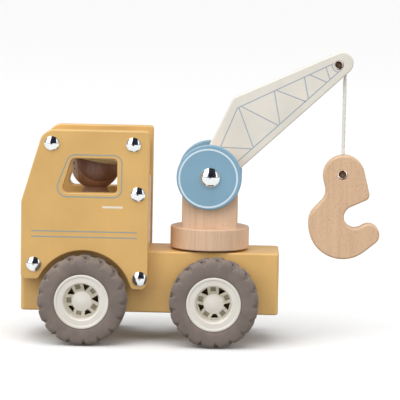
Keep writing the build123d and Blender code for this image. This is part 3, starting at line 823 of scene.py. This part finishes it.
def make_hat():
    """A ribbed cap with a rolled edge."""
    around = 96
    angles = [math.tau * k / around for k in range(around)]
    vertices = []
    for index, (radius, height) in enumerate(HAT_SECTION[:-1]):
        for angle in angles:
            crease = RIB_DEPTH * (1 - abs(math.cos(HAT_RIBS * angle / 2)))
            crease *= index in RIBBED_ROWS
            vertices.append(on_hat(radius - crease, height, angle))
    rows = len(HAT_SECTION) - 1
    vertices.append(on_hat(*HAT_SECTION[-1], 0.0))
    for radius, height in HAT_LINING:
        vertices += [on_hat(radius, height, angle) for angle in angles]
    faces = grid_faces(rows, around, wrap_rows=False)
    tip, top_row = rows * around, (rows - 1) * around
    faces += [(top_row + k, top_row + (k + 1) % around, tip) for k in range(around)]
    start = tip + 1
    lining = grid_faces(len(HAT_LINING), around, wrap_rows=False)
    faces += [tuple(start + v for v in face) for face in lining]
    faces += [(k, (k + 1) % around, start + (k + 1) % around, start + k) for k in range(around)]
    last = start + (len(HAT_LINING) - 1) * around
    faces.append(tuple(last + k for k in range(around)))
    felt = moulded("hat_paint", linear(200, 186, 150), linear(184, 168, 132), 0.6, grain=900)
    piece = add_mesh("driver_cap", vertices, faces, felt, "driver", 50)
    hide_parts("driver_hat")


def on_head(turn, rise, radius):
    """A point of the head's surface, turned from its front and raised, in degrees."""
    turn, rise = math.radians(turn), math.radians(rise)
    return HEAD + Vector(
        (
            -math.cos(turn) * math.cos(rise),
            math.sin(turn) * math.cos(rise),
            math.sin(rise),
        )
    ) * radius


# turn from the front, rise and half width, in degrees
DOTS = ((-33, 4.0, 3.0), (33, 4.0, 3.0), (-36, -9.0, 2.2), (36, -9.0, 2.2))
DOT_DOME = ((1.0, -0.1), (1.0, 0.04), (0.7, 0.12), (0.35, 0.17))  # share of the width, height
DOT_STRETCH = 1.25


def make_face_dots():
    """Two eyes and two small cheek dots, painted on as low domes."""
    vertices, faces = [], []
    for turn, rise, size in DOTS:
        base = len(vertices)
        around = 20
        for share, raised in DOT_DOME:
            for k in range(around):
                angle = math.tau * k / around
                vertices.append(
                    on_head(
                        turn + size * share * math.cos(angle),
                        rise + size * share * math.sin(angle) * DOT_STRETCH,
                        HEAD_RADIUS + raised,
                    )
                )
        rows = len(DOT_DOME)
        faces += [tuple(base + v for v in f) for f in grid_faces(rows, around, wrap_rows=False)]
        faces.append(tuple(range(base, base + around)))
        faces.append(tuple(range(base + (rows - 1) * around, base + rows * around)))
    add_mesh("driver_eyes", vertices, faces, eye_paint, "driver", 60)


make_hat()
make_face_dots()


# ------------------------------------------------------------------ studio, in metres
FLOOR_REACH = 60
FLOOR_DROP = 0.0002
TABLE_REACH = 9
TABLE_DROP = 0.02


def stage_mesh(name, points, material):
    mesh = bpy.data.meshes.new(name)
    mesh.from_pydata(points, [], [tuple(range(len(points)))])
    mesh.materials.append(material)
    piece = bpy.data.objects.new(name, mesh)
    bpy.context.scene.collection.objects.link(piece)
    return piece


def level_square(reach, z):
    return [(-reach, -reach, z), (reach, -reach, z), (reach, reach, z), (-reach, reach, z)]


def make_floor():
    """A white floor to look at, and a dim table under it that the bounced light comes from."""
    paper = Surface("floor_paper")
    tooth = paper.noise(paper.place, scale=400, detail=2)
    white = paper.finish(paper.blend(tooth, (0.93, 0.93, 0.93, 1), (0.9, 0.9, 0.9, 1)), 0.9)
    floor = stage_mesh("floor", level_square(FLOOR_REACH, 0), white)
    floor.location.z = -FLOOR_DROP
    floor.visible_diffuse = False
    floor.visible_shadow = False

    bounce = Surface("table_bounce")
    dim = bounce.noise(bounce.place, scale=3, detail=1)
    dull = bounce.finish(bounce.blend(dim, (0.2, 0.19, 0.17, 1), (0.22, 0.21, 0.19, 1)), 1.0)
    table = stage_mesh("table_bounce", level_square(TABLE_REACH, -TABLE_DROP), dull)
    table.visible_camera = False
    table.visible_glossy = False


# what the chrome mirrors: the dark room behind the camera and over it, and its horizon
CARD_LOW = ((-0.6, -2.0, 0.16), (1.6, -1.2, 0.16))
CARD_MIDDLE = ((-0.48, -1.06, 1.98), (1.25, -0.57, 1.82))
CARD_TOP = ((-0.22, 1.16, 2.2), (0.6, 1.5, 1.9))
HORIZON_LOW = ((-8, -4.0, 0.02), (8, -4.0, 0.02))
HORIZON_TOP = ((-8, -4.0, 0.16), (8, -4.0, 0.16))


def make_cards():
    """Dark cards that only mirrored light meets."""
    dark = Surface("card")
    dark_tone = dark.finish(linear(30, 34, 60), 0.8)
    cards = (
        ("camera_card", CARD_LOW, CARD_MIDDLE),
        ("ceiling_card", CARD_MIDDLE, CARD_TOP),
        ("horizon_card", HORIZON_LOW, HORIZON_TOP),
    )
    for name, lower, upper in cards:
        card = stage_mesh(name, [*lower, *upper[::-1]], dark_tone)
        card.visible_camera = False
        card.visible_diffuse = False
        card.visible_shadow = False


SKY_LIGHT = 0.5
BACKDROP_WHITE = 0.97


def make_world():
    """An even white sky, which the camera itself sees as a bright backdrop."""
    world = bpy.data.worlds.new("studio")
    bpy.context.scene.world = world
    world.use_nodes = True
    nodes_of, links = world.node_tree.nodes, world.node_tree.links
    sky = nodes_of["Background"]
    backdrop = nodes_of.new("ShaderNodeBackground")
    for background, strength in ((sky, SKY_LIGHT), (backdrop, BACKDROP_WHITE)):
        background.inputs["Color"].default_value = (1.0, 1.0, 1.0, 1.0)
        background.inputs["Strength"].default_value = strength
    seen = nodes_of.new("ShaderNodeLightPath")
    chosen = nodes_of.new("ShaderNodeMixShader")
    links.new(seen.outputs["Is Camera Ray"], chosen.inputs[0])
    links.new(sky.outputs[0], chosen.inputs[1])
    links.new(backdrop.outputs[0], chosen.inputs[2])
    links.new(chosen.outputs[0], nodes_of["World Output"].inputs["Surface"])


# name, kind, place, size in metres or spread in degrees, strength
LAMPS = (
    ("left_softbox", "AREA", (-2.3, -2.0, 1.5), 2.4, 42.0),
    ("right_softbox", "AREA", (2.3, -2.0, 1.5), 2.4, 27.0),
    ("sky", "SUN", (-0.5, -0.7, 3.0), 70.0, 1.9),
)
LAMP_AIM = Vector((0, 0, 0.1))


def make_lamps():
    for name, kind, place, size, strength in LAMPS:
        light = bpy.data.lights.new(name, kind)
        if kind == "AREA":
            light.shape = "SQUARE"
            light.size = size
        else:
            light.angle = math.radians(size)
        light.energy = strength
        lamp = bpy.data.objects.new(name, light)
        bpy.context.scene.collection.objects.link(lamp)
        lamp.location = place
        aim = LAMP_AIM - Vector(place)
        lamp.rotation_euler = aim.to_track_quat("-Z", "Y").to_euler()


make_floor()
make_cards()
make_world()
make_lamps()
bpy.context.scene.view_settings.view_transform = "Standard"
